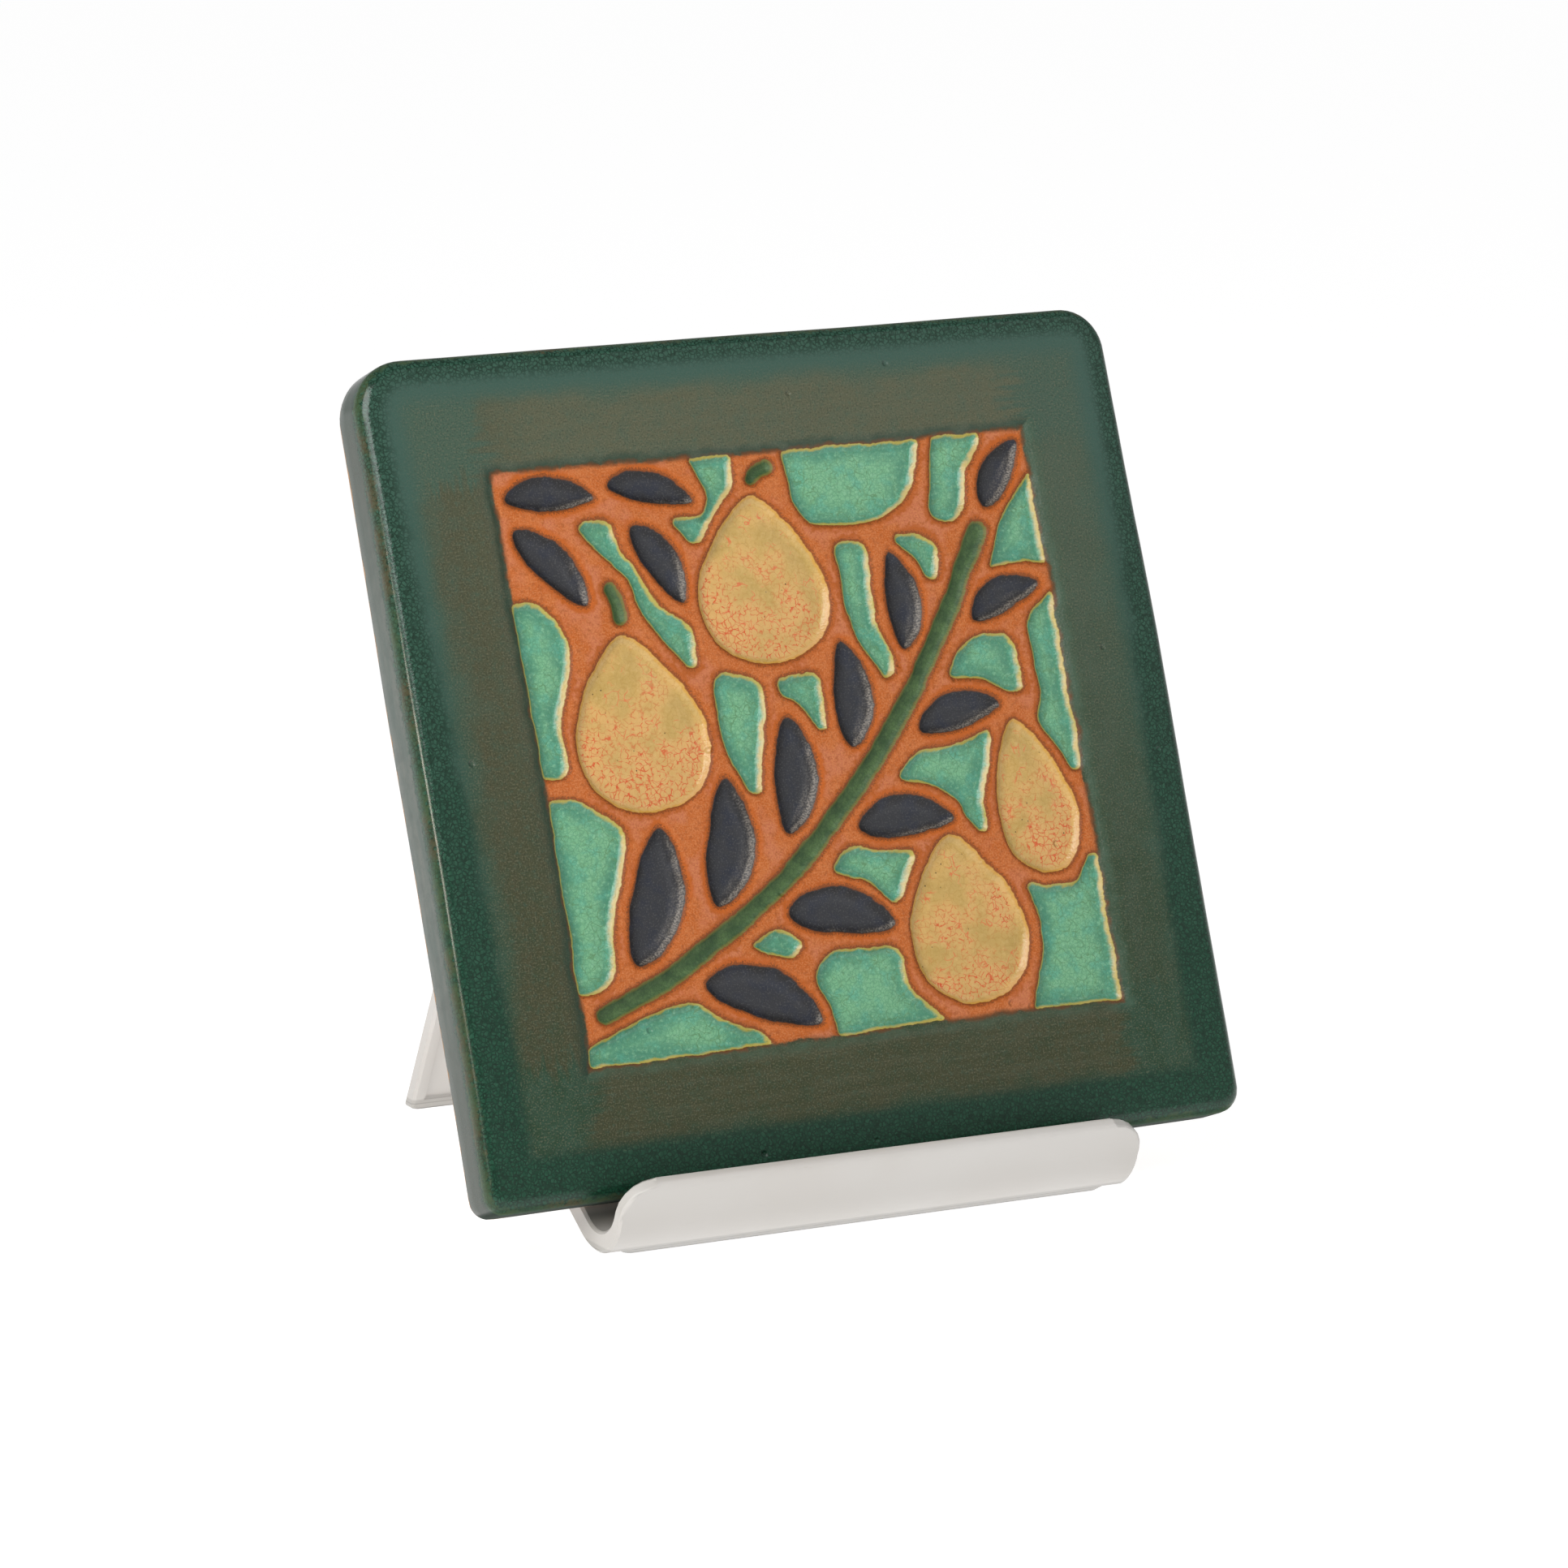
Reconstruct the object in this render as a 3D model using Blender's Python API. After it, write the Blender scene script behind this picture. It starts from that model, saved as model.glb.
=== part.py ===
"""A square glazed art tile that leans in a white moulded easel.

Metres, +Z up. The tile faces -Y and leans back. The origin is on the table, under the middle of the
bounding box. The tile's picture is cut into its face as shallow fields: a bough with pears and leaves.
"""

import math

import bmesh
import bpy
from mathutils import Vector

MM = 0.001

# The tile, seen from the front
tile_width = 152.4 * MM
tile_height = 152.4 * MM
tile_thickness = 10.0 * MM
tile_lean = math.radians(20.6)
tile_turn = math.radians(0.58)
front_round = 2.4 * MM
back_round = 1.0 * MM
corner_radius = {
    "bottom_right": 4.5 * MM,
    "top_right": 8.0 * MM,
    "top_left": 10.0 * MM,
    "bottom_left": 3.5 * MM,
}

# The picture panel and the fields cut into it
border_left = 23.2 * MM
border_right = 21.2 * MM
border_bottom = 23.2 * MM
border_top = 22.2 * MM
field_depth = 1.4 * MM
field_wall_run = 0.8 * MM

# The easel's front channel
easel_width = 104.6 * MM
easel_offset = -1.7 * MM
lip_wall = 2.7 * MM
trough_wall = 3.8 * MM
heel_wall = 4.4 * MM
lip_lean = math.radians(22.0)
lip_length = 7.4 * MM
lip_corner = 5.8 * MM
trough_radius = 7.1 * MM
heel_slope = math.radians(31.6)
heel_run = 10.0 * MM
heel_radius = 6.0 * MM
heel_corner = 5.0 * MM
edge_chamfer = 0.5 * MM

# The easel's rest and leg
leg_width = 77.0 * MM
leg_wall = 3.3 * MM
leg_lean = math.radians(28.3)
leg_corner = 1.0 * MM
rest_reach = 107.0 * MM
apex_radius = 6.5 * MM
rim_width = 2.2 * MM
rim_height = 0.7 * MM

# The pad under the channel. Its sides slope in towards the table.
pad_width = 102.7 * MM
pad_offset = 0.65 * MM
pad_front = 4.4 * MM
pad_depth = 11.4 * MM
pad_corner = 5.0 * MM
pad_taper = 3.4 * MM
pad_rise = 2.0 * MM
pad_drop = 0.8 * MM
pad_sink = 2.2 * MM

# Fits
seat_run = 3.4 * MM
rest_gap = 0.3 * MM


def add_object(name, mesh, colour, roughness):
    """Link a mesh as an object with its own material."""
    material = bpy.data.materials.new(name)
    material.use_nodes = True
    shader = material.node_tree.nodes["Principled BSDF"]
    shader.inputs["Base Color"].default_value = (*colour, 1.0)
    shader.inputs["Roughness"].default_value = roughness
    shader.inputs["Metallic"].default_value = 0.0
    mesh.materials.append(material)
    thing = bpy.data.objects.new(name, mesh)
    bpy.context.scene.collection.objects.link(thing)
    return thing


def add_guide(name, mesh):
    """Link a mesh that only cuts or joins, and isn't part of the object."""
    guide = bpy.data.objects.new(name, mesh)
    bpy.context.scene.collection.objects.link(guide)
    guide.hide_render = True
    guide.display_type = "WIRE"
    return guide


def loft(bm, rings):
    """Skin a row of closed rings, capped at both ends, with the faces pointing out."""
    rows = [[bm.verts.new(point) for point in outline] for outline in rings]
    for row, following in zip(rows, rows[1:]):
        for i in range(len(row)):
            bm.faces.new((row[i - 1], row[i], following[i], following[i - 1]))
    bm.faces.new(rows[0][::-1])
    bm.faces.new(rows[-1])


def finish_mesh(bm, name):
    """Turn the faces outwards and store the mesh."""
    bmesh.ops.recalc_face_normals(bm, faces=bm.faces)
    mesh = bpy.data.meshes.new(name)
    bm.to_mesh(mesh)
    bm.free()
    return mesh


def add_boolean(thing, guide, operation):
    modifier = thing.modifiers.new(guide.name, "BOOLEAN")
    modifier.operation = operation
    modifier.solver = "EXACT"
    modifier.object = guide


# The tile's slab

def rounded_outline(width, height, radii, inset=0.0, steps=5):
    """Outline of a rectangle about its middle, from the bottom right corner anticlockwise."""
    outline = []
    signs = ((1, -1), (1, 1), (-1, 1), (-1, -1))
    for turn, ((across, up), radius) in enumerate(zip(signs, radii)):
        reach = max(radius - inset, 0.2 * radius)
        middle = (across * (width / 2 - inset - reach), up * (height / 2 - inset - reach))
        for i in range(steps + 1):
            angle = math.pi / 2 * (turn - 1 + i / steps)
            outline.append((middle[0] + reach * math.cos(angle), middle[1] + reach * math.sin(angle)))
    return outline


def make_slab():
    """The slab stands upright here: x across, y from its face to its back, z up."""
    bends = 4
    levels = []
    for i in range(bends + 1):
        angle = math.pi / 2 * i / bends
        levels.append((front_round * (1 - math.sin(angle)), front_round * (1 - math.cos(angle))))
    for i in range(bends + 1):
        angle = math.pi / 2 * i / bends
        depth = tile_thickness - back_round * (1 - math.sin(angle))
        levels.append((back_round * (1 - math.cos(angle)), depth))
    rings = []
    for inset, depth in levels:
        outline = rounded_outline(tile_width, tile_height, corner_radius.values(), inset)
        rings.append([(x, depth, z) for x, z in outline])
    bm = bmesh.new()
    loft(bm, rings)
    return finish_mesh(bm, "tile")


# The picture: drawn in millimetres on a panel of this size, about the tile's middle

drawn_left, drawn_right = -53.0, 55.0
drawn_bottom, drawn_top = -53.0, 54.0


def pear(length, width, steps=26):
    """A pear from its blossom end at the start to its neck."""
    outline = []
    for i in range(steps):
        turn = 2 * math.pi * i / steps
        belly = 0.93 - 0.36 * math.cos(turn) - 0.08 * math.cos(2 * turn)
        outline.append((0.5 * length * (1 + math.cos(turn)), 0.5 * width * belly * math.sin(turn)))
    return outline


def leaf(length, width, bend, steps=9):
    """A curved almond from its stalk to its tip."""
    lower, upper = [], []
    for i in range(steps + 1):
        t = 0.5 - 0.5 * math.cos(math.pi * i / steps)
        middle = 4 * bend * t * (1 - t)
        half = 0.5 * width * math.sin(math.pi * t ** 0.9) ** 0.62
        lower.append((length * t, middle - half))
        upper.append((length * t, middle + half))
    return lower + upper[-2:0:-1]


def along(curve, t):
    """Place and heading at share t of a curve with one control point."""
    (x0, y0), (x1, y1), (x2, y2) = curve
    x = (1 - t) ** 2 * x0 + 2 * t * (1 - t) * x1 + t * t * x2
    y = (1 - t) ** 2 * y0 + 2 * t * (1 - t) * y1 + t * t * y2
    heading = math.atan2((1 - t) * (y1 - y0) + t * (y2 - y1), (1 - t) * (x1 - x0) + t * (x2 - x1))
    return x, y, heading


def twig(curve, width, steps, cap=3):
    """A bar of even width along a curve, with round ends."""
    half = width / 2
    stations = [along(curve, i / steps) for i in range(steps + 1)]
    outline = [(x + half * math.sin(a), y - half * math.cos(a)) for x, y, a in stations]
    x, y, heading = stations[-1]
    for i in range(1, cap + 1):
        angle = heading - math.pi / 2 + math.pi * i / (cap + 1)
        outline.append((x + half * math.cos(angle), y + half * math.sin(angle)))
    outline += [(x - half * math.sin(a), y + half * math.cos(a)) for x, y, a in reversed(stations)]
    x, y, heading = stations[0]
    for i in range(1, cap + 1):
        angle = heading + math.pi / 2 + math.pi * i / (cap + 1)
        outline.append((x + half * math.cos(angle), y + half * math.sin(angle)))
    return outline


def patch(corners, steps=3, spacing=1.3):
    """A background patch with soft corners, nearly square at the frame and tight where they turn in."""
    outline = []
    for i, corner in enumerate(corners):
        here = Vector(corner)
        before = Vector(corners[i - 1]) - here
        after = Vector(corners[(i + 1) % len(corners)]) - here
        framed = corner[0] in (drawn_left, drawn_right) or corner[1] in (drawn_bottom, drawn_top)
        turns_out = after.x * before.y - after.y * before.x > 0
        reach = 1.0 if framed else 5.0 if turns_out else 1.8
        cut = min(reach, 0.48 * before.length, 0.48 * after.length)
        start = here + cut * before.normalized()
        end = here + cut * after.normalized()
        for k in range(steps + 1):
            t = k / steps
            outline.append(tuple((1 - t) ** 2 * start + 2 * t * (1 - t) * here + t * t * end))
    return spaced(outline, spacing)


def spaced(outline, spacing):
    """Leave out the points that stand nearer than the spacing to the last one kept."""
    kept = [outline[0]]
    for point in outline[1:]:
        if math.dist(point, kept[-1]) > spacing:
            kept.append(point)
    return kept if math.dist(kept[0], kept[-1]) > spacing else kept[:-1]


def place(outline, x, y, turn):
    """Turn an outline about its start, then move the start to x, y."""
    c, s = math.cos(turn), math.sin(turn)
    return [(x + u * c - v * s, y + u * s + v * c) for u, v in outline]


def draw_bough():
    """A bough from corner to corner, with leaves on both sides and one at its tip."""
    bough = ((-48.5, -44.0), (6.0, -27.0), (42.0, 36.0))
    leaf_gap = 4.6
    outlines = [twig(bough, 3.6, steps=10)]
    for pair in range(5):
        for side, first in ((1, 0.09), (-1, 0.175)):
            x, y, heading = along(bough, first + 0.178 * pair)
            length = 25.5 - 1.9 * pair - (2.0 if side < 0 else 0.0)
            spread = side * math.radians(49.0 - 3.0 * pair)
            x -= side * leaf_gap * math.sin(heading)
            y += side * leaf_gap * math.cos(heading)
            blade = leaf(length, 0.40 * length, -side * 0.07 * length)
            outlines.append(place(blade, x, y, heading + spread))
    x, y, heading = along(bough, 1.0)
    x += leaf_gap * math.cos(heading)
    y += leaf_gap * math.sin(heading)
    outlines.append(place(leaf(15.0, 6.6, 0.8), x, y, heading - math.radians(8.0)))
    return outlines


def draw_fruit():
    """Four pears and two of their stalks: blossom end, heading in degrees, length and width."""
    outlines = []
    for x, y, heading, length, width in (
        (-31.5, -9.5, 93, 32.5, 25.0),
        (-4.5, 15.0, 86, 31.0, 25.0),
        (26.5, -50.5, 92, 31.0, 23.0),
        (45.8, -28.5, 97, 29.0, 15.5),
    ):
        outlines.append(place(pear(length, width), x, y, math.radians(heading)))
    outlines.append(twig(((-32.6, 26.2), (-32.4, 28.8), (-33.6, 31.4)), 2.8, steps=3))
    outlines.append(twig(((-1.8, 49.3), (-1.4, 50.4), (1.4, 51.2)), 2.8, steps=3))
    return outlines


def draw_spray():
    """Four loose leaves in the top left corner: stalk, heading in degrees, length and width."""
    outlines = []
    for x, y, heading, length, width in (
        (-51.0, 49.2, -4, 17.5, 6.2),
        (-50.5, 43.2, -50, 18.5, 7.4),
        (-30.5, 50.4, -15, 17.0, 6.2),
        (-27.4, 42.4, -62, 16.5, 7.0),
    ):
        outlines.append(place(leaf(length, width, 1.0), x, y, math.radians(heading)))
    return outlines


def draw_sky():
    """The background patches between the figures, each by its corners. The outer ones end at the frame."""
    return [patch(corners) for corners in (
        ((-53.0, -1.6), (-47.8, -1.6), (-47.6, 8.1), (-43.2, 20.0), (-44.2, 26.2), (-48.7, 30.6),
         (-53.0, 30.6)),
        ((-53.0, -39.8), (-48.5, -39.8), (-45.2, -37.4), (-45.0, -30.9), (-39.0, -14.3), (-39.1, -11.4),
         (-46.9, -5.4), (-53.0, -5.4)),
        ((-29.6, 32.6), (-28.5, 26.2), (-20.9, 16.0), (-18.9, 16.0), (-19.0, 23.8), (-24.3, 26.9),
         (-30.6, 39.3), (-31.0, 43.8), (-39.5, 43.8)),
        ((-53.0, -53.0), (-16.6, -53.0), (-18.8, -50.6), (-25.0, -48.2), (-30.9, -43.4), (-34.9, -43.6),
         (-53.0, -49.4)),
        ((-17.0, 0.7), (-13.4, -7.8), (-10.9, -7.8), (-9.6, -1.3), (-7.2, 6.1), (-7.0, 12.5),
         (-16.8, 15.2)),
        ((-4.0, 9.3), (-0.9, 7.7), (2.6, 2.2), (4.3, 2.2), (4.6, 9.4), (4.0, 13.2), (-4.0, 12.2)),
        ((5.4, 43.7), (8.4, 39.6), (21.9, 39.3), (29.3, 43.1), (33.4, 54.0), (5.0, 54.0)),
        ((-10.9, 46.6), (-12.3, 43.3), (-20.0, 42.8), (-16.6, 38.2), (-14.8, 38.2), (-5.4, 48.4),
         (-5.4, 54.0), (-13.9, 54.0)),
        ((12.6, 20.5), (17.8, 10.0), (19.8, 10.9), (20.4, 13.8), (18.2, 19.9), (19.0, 36.2),
         (12.0, 36.6)),
        ((32.4, 39.1), (37.1, 37.3), (41.2, 41.6), (41.4, 46.6), (45.6, 51.8), (46.0, 54.0),
         (36.2, 54.0)),
        ((24.6, 35.2), (28.9, 31.4), (29.8, 28.0), (31.6, 27.6), (33.4, 31.1), (33.2, 33.6),
         (30.2, 36.4), (25.0, 36.6)),
        ((29.8, 8.9), (36.3, 8.7), (42.9, 5.2), (45.8, 5.2), (45.8, 16.8), (35.4, 16.5)),
        ((46.9, 37.4), (43.3, 30.0), (43.2, 28.8), (49.0, 29.3), (55.0, 28.4), (55.0, 45.6)),
        ((48.8, 19.4), (49.2, 4.3), (47.3, -0.4), (53.1, -10.0), (55.0, -10.0), (55.0, 23.5)),
        ((15.6, -8.5), (23.4, -9.7), (28.8, -13.6), (29.3, -16.6), (31.9, -20.0), (33.6, -19.4),
         (33.4, -14.7), (37.5, -2.8), (36.9, -1.2), (28.0, -3.6), (21.9, -3.3)),
        ((36.8, -53.0), (55.0, -53.0), (55.0, -25.9), (53.0, -25.9), (49.8, -30.7), (43.3, -31.0),
         (40.0, -29.8), (39.2, -30.6), (40.8, -35.9), (40.6, -42.7)),
        ((-3.8, -53.0), (18.4, -53.0), (12.1, -46.2), (11.7, -38.1), (-3.0, -37.7), (-7.3, -42.1),
         (-4.2, -47.5)),
        ((-16.6, -36.2), (-11.5, -38.4), (-9.6, -38.2), (-7.4, -35.5), (-11.8, -32.2), (-17.8, -34.8)),
        ((7.2, -26.0), (11.6, -30.5), (13.4, -30.1), (18.9, -21.4), (11.9, -21.3), (4.9, -18.9),
         (-0.6, -23.6)),
    )]


def enclosed_area(outline):
    """Area inside an outline, negative where it runs clockwise."""
    return sum(a[0] * b[1] - b[0] * a[1] for a, b in zip(outline, outline[1:] + outline[:1])) / 2


def on_panel(outline):
    """Fit a drawn outline to the real panel, anticlockwise, in metres about the tile's middle."""
    across = (tile_width - border_left - border_right) / (drawn_right - drawn_left)
    up = (tile_height - border_bottom - border_top) / (drawn_top - drawn_bottom)
    left = border_left - tile_width / 2
    bottom = border_bottom - tile_height / 2
    fitted = [(left + (x - drawn_left) * across, bottom + (y - drawn_bottom) * up) for x, y in outline]
    return fitted if enclosed_area(fitted) > 0 else fitted[::-1]


def grown(outline, distance):
    """Move an anticlockwise outline outwards, each point along the normal of its neighbours' line."""
    moved = []
    for i, (x, y) in enumerate(outline):
        before, after = outline[i - 1], outline[(i + 1) % len(outline)]
        along_x, along_y = after[0] - before[0], after[1] - before[1]
        length = math.hypot(along_x, along_y)
        moved.append((x + distance * along_y / length, y - distance * along_x / length))
    return moved


def wall_run(outline):
    """How far a field's wall slopes in. A slim field's wall is steeper, to leave it a floor."""
    girth = sum(math.dist(a, b) for a, b in zip(outline, outline[1:] + outline[:1]))
    return min(field_wall_run, 0.8 * enclosed_area(outline) / girth)


def field_floor(outline, run, steps=6, easing=0.35):
    """The outline at the foot of a field's wall. Its tips are eased at each step, so none folds over."""
    for _ in range(steps):
        drawn_in = grown(outline, -run / steps)
        outline = []
        for i, (x, y) in enumerate(drawn_in):
            before, after = drawn_in[i - 1], drawn_in[(i + 1) % len(drawn_in)]
            to_x, to_y = (before[0] + after[0]) / 2 - x, (before[1] + after[1]) / 2 - y
            outline.append((x + easing * to_x, y + easing * to_y))
    return outline


def make_field_cutter():
    """Every field as a plug with sloping walls, from just off the tile's face to the field's floor."""
    lift = field_depth / 2
    bm = bmesh.new()
    for drawn in draw_bough() + draw_fruit() + draw_spray() + draw_sky():
        outline = on_panel(drawn)
        run = wall_run(outline)
        mouth = grown(outline, run * lift / field_depth)
        floor = field_floor(outline, run)
        loft(bm, [[(x, -lift, z) for x, z in mouth], [(x, field_depth, z) for x, z in floor]])
    return finish_mesh(bm, "field_cutter")


# The easel: one ribbon of moulding, followed from the lip's top to the foot of the leg.
# Its path runs on the side that faces the tile. Points are (y, z), with z = 0 on the table.

def heading_vector(angle):
    return Vector((math.cos(angle), math.sin(angle)))


def left_of(angle):
    return Vector((-math.sin(angle), math.cos(angle)))


def lay_out():
    """The easel's bends and the tile's place, worked out from the driving sizes."""
    lip_angle = lip_lean - math.pi / 2
    trough = Vector((0.0, pad_drop + trough_wall + trough_radius))
    heel_start = trough - trough_radius * left_of(heel_slope)
    heel_end = heel_start + heel_run * heading_vector(heel_slope)
    heel = heel_end + heel_radius * left_of(heel_slope)

    seat = heel_start + seat_run * heading_vector(heel_slope)
    edge = seat + (back_round + rest_gap) * left_of(heel_slope)
    up_tile = Vector((math.sin(tile_lean), math.cos(tile_lean)))
    into_tile = Vector((math.cos(tile_lean), -math.sin(tile_lean)))
    easel_end = easel_offset - easel_width / 2
    low = (easel_end * math.sin(tile_turn) + back_round - tile_height / 2) / math.cos(tile_turn)
    tile_middle = edge - low * up_tile - (tile_thickness - back_round) * into_tile

    back_foot = edge - back_round * up_tile + back_round * into_tile
    apex = back_foot + rest_reach * up_tile + (apex_radius + rest_gap) * into_tile
    span = apex - heel
    rest_angle = math.atan2(span.y, span.x) + math.asin((heel_radius + apex_radius) / span.length)
    leg_angle = leg_lean - math.pi / 2
    leg_start = apex + apex_radius * left_of(leg_angle)
    leg_length = leg_start.y / math.cos(leg_lean)
    return {
        "lip_angle": lip_angle,
        "trough": trough,
        "heel": heel,
        "apex": apex,
        "rest_angle": rest_angle,
        "leg_angle": leg_angle,
        "leg_length": leg_length,
        "tile_middle": tile_middle,
    }


def arc(middle, radius, start, end, steps):
    """Points and headings round a bend. A negative radius bends to the right."""
    bend = []
    for i in range(steps + 1):
        angle = start + (end - start) * i / steps
        bend.append((middle - radius * left_of(angle), angle))
    return bend


def ring(point, across, half, wall, recess=0.0):
    """One closed section of the ribbon. across points from the tile's side into the wall."""
    rim = min(rim_width, half / 2)
    step = half - rim - max(recess, edge_chamfer)
    bevel = min(edge_chamfer, wall / 3)
    section = [
        (bevel - half, 0.0), (half - bevel, 0.0), (half, bevel), (half, wall - bevel),
        (half - bevel, wall), (half - rim, wall), (step, wall - recess),
        (-step, wall - recess), (rim - half, wall), (bevel - half, wall),
        (-half, wall - bevel), (-half, bevel),
    ]
    points = []
    for x, depth in section:
        y, z = point + depth * across
        points.append((easel_offset + x, y, z))
    return points


def corner_stations(radius, steps=5):
    """Distances from an end and the amounts that a round corner takes off the half width there."""
    stations = []
    for i in range(steps + 1):
        angle = math.pi / 2 * i / steps
        stations.append((radius * (1 - math.cos(angle)), radius * (1 - math.sin(angle))))
    return stations


def make_ribbon(plan):
    full = easel_width / 2
    narrow = leg_width / 2
    trough_bend = arc(plan["trough"], trough_radius, plan["lip_angle"], heel_slope, 12)
    lip_start, lip_angle = trough_bend[0]
    lip_top = lip_start - lip_length * heading_vector(lip_angle)
    lip_inward = -left_of(lip_angle)
    rings = []

    first = ring(lip_top, lip_inward, full - lip_corner - edge_chamfer, lip_wall)
    middle = lip_top + lip_wall / 2 * lip_inward
    thinned = 1 - 2 * edge_chamfer / lip_wall
    for i, (x, y, z) in enumerate(first):
        spot = Vector((y, z)) - middle
        first[i] = (x, *(middle + thinned * spot))
    rings.append(first)
    for distance, loss in corner_stations(lip_corner):
        point = lip_top + (edge_chamfer + distance) * heading_vector(lip_angle)
        rings.append(ring(point, lip_inward, full - loss, lip_wall))

    for i, (point, angle) in enumerate(trough_bend):
        share = i / (len(trough_bend) - 1)
        early = min(2 * share, 1.0)
        late = max(2 * share - 1, 0.0)
        wall = lip_wall + (trough_wall - lip_wall) * early + (heel_wall - trough_wall) * late
        rings.append(ring(point, -left_of(angle), full, wall))

    heel_bend = arc(plan["heel"], heel_radius, heel_slope, plan["rest_angle"], 6)
    for point, angle in heel_bend:
        rings.append(ring(point, -left_of(angle), full, heel_wall))

    rest_start, rest_angle = heel_bend[-1]
    for distance, loss in reversed(corner_stations(heel_corner)):
        point = rest_start + (heel_corner - distance + edge_chamfer) * heading_vector(rest_angle)
        rings.append(ring(point, -left_of(rest_angle), full - loss, heel_wall))
    shoulder = rest_start + (heel_corner + 2 * edge_chamfer) * heading_vector(rest_angle)
    rings.append(ring(shoulder, -left_of(rest_angle), narrow, leg_wall))
    for distance, recess in ((rim_width, 0.0), (rim_width + rim_height, rim_height)):
        point = shoulder + distance * heading_vector(rest_angle)
        rings.append(ring(point, -left_of(rest_angle), narrow, leg_wall, recess))

    for point, angle in arc(plan["apex"], -apex_radius, rest_angle, plan["leg_angle"], 12):
        rings.append(ring(point, -left_of(angle), narrow, leg_wall, rim_height))

    leg_start = plan["apex"] + apex_radius * left_of(plan["leg_angle"])
    leg_heading = heading_vector(plan["leg_angle"])
    flat = Vector((-1.0 / math.cos(leg_lean), 0.0))
    for distance, recess in ((rim_width + rim_height, rim_height), (rim_width, 0.0)):
        point = leg_start + (plan["leg_length"] - distance) * leg_heading
        rings.append(ring(point, flat, narrow, leg_wall, recess))
    for distance, loss in reversed(corner_stations(leg_corner)):
        point = leg_start + (plan["leg_length"] - distance) * leg_heading
        rings.append(ring(point, flat, narrow - loss, leg_wall))

    bm = bmesh.new()
    loft(bm, rings)
    return finish_mesh(bm, "easel")


def make_pad(plan):
    """The pad that carries the channel, from the table into the channel's wall."""
    middle = plan["trough"].x - pad_front + pad_depth / 2
    rings = []
    for inset, height in ((pad_taper, 0.0), (0.0, pad_rise), (0.0, pad_drop + pad_sink)):
        outline = rounded_outline(pad_width, pad_depth, [pad_corner] * 4, inset)
        rings.append([(easel_offset + pad_offset + x, middle + y, height) for x, y in outline])
    bm = bmesh.new()
    loft(bm, rings)
    return finish_mesh(bm, "foot_pad_guide")


def centre_on_table(base, things):
    """Move the base so that the box of all the things stands on the origin."""
    bpy.context.view_layer.update()
    corners = [thing.matrix_world @ vertex.co for thing in things for vertex in thing.data.vertices]
    low = [min(corner[axis] for corner in corners) for axis in range(3)]
    high = [max(corner[axis] for corner in corners) for axis in range(3)]
    base.location = (-(low[0] + high[0]) / 2, -(low[1] + high[1]) / 2, 0.0)
    bpy.context.view_layer.update()


for old in list(bpy.data.objects):
    bpy.data.objects.remove(old)

plan = lay_out()
base = bpy.data.objects.new("base", None)
bpy.context.scene.collection.objects.link(base)

tile = add_object("tile", make_slab(), (0.05, 0.12, 0.09), 0.35)
cutter = add_guide("field_cutter", make_field_cutter())
add_boolean(tile, cutter, "DIFFERENCE")
for thing in (tile, cutter):
    thing.parent = base
    thing.rotation_mode = "YXZ"
    thing.rotation_euler = (-tile_lean, -tile_turn, 0.0)
    thing.location = (0.0, *plan["tile_middle"])

easel = add_object("easel", make_ribbon(plan), (0.75, 0.73, 0.70), 0.40)
pad = add_guide("foot_pad_guide", make_pad(plan))
add_boolean(easel, pad, "UNION")
for thing in (easel, pad):
    thing.parent = base

centre_on_table(base, (tile, easel))
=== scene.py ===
"""The looks of a square glazed art tile on its white easel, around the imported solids. Metres, +Z up."""

import math

import bpy
import numpy as np
from mathutils import Euler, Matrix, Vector, noise


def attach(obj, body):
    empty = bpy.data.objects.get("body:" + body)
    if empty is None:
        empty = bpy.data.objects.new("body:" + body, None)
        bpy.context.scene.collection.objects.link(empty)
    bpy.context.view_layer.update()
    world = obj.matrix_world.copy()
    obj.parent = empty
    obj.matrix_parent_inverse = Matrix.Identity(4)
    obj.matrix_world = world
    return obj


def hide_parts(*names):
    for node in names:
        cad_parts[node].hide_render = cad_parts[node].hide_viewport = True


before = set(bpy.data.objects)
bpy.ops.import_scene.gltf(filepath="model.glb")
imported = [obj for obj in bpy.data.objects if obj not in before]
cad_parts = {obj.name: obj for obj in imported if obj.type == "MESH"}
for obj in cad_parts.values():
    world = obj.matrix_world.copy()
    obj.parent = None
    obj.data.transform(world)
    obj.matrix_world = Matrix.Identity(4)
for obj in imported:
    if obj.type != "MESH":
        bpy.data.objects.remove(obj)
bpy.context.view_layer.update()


# The table and the studio round the object.
# A plain white sheet carries it. A large soft light stands to the upper left, a weaker one to the right,
# and a small one low on the left, for the thin line of light along the tile's edge.

bpy.context.scene.view_settings.view_transform = "Standard"

bpy.ops.object.select_all(action="DESELECT")
bpy.ops.mesh.primitive_circle_add(vertices=96, radius=14.0, fill_type="NGON")
table = bpy.context.object
table.name = "table_sheet"
paper = bpy.data.materials.new("white_paper")
paper.use_nodes = True
paper_shader = paper.node_tree.nodes["Principled BSDF"]
paper_shader.inputs["Base Color"].default_value = (0.40, 0.40, 0.40, 1.0)
paper_shader.inputs["Roughness"].default_value = 0.9
paper_shader.inputs["Specular IOR Level"].default_value = 0.1
paper_shader.inputs["Emission Color"].default_value = (1.0, 1.0, 1.0, 1.0)
paper_shader.inputs["Emission Strength"].default_value = 0.88
table.data.materials.append(paper)

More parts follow.
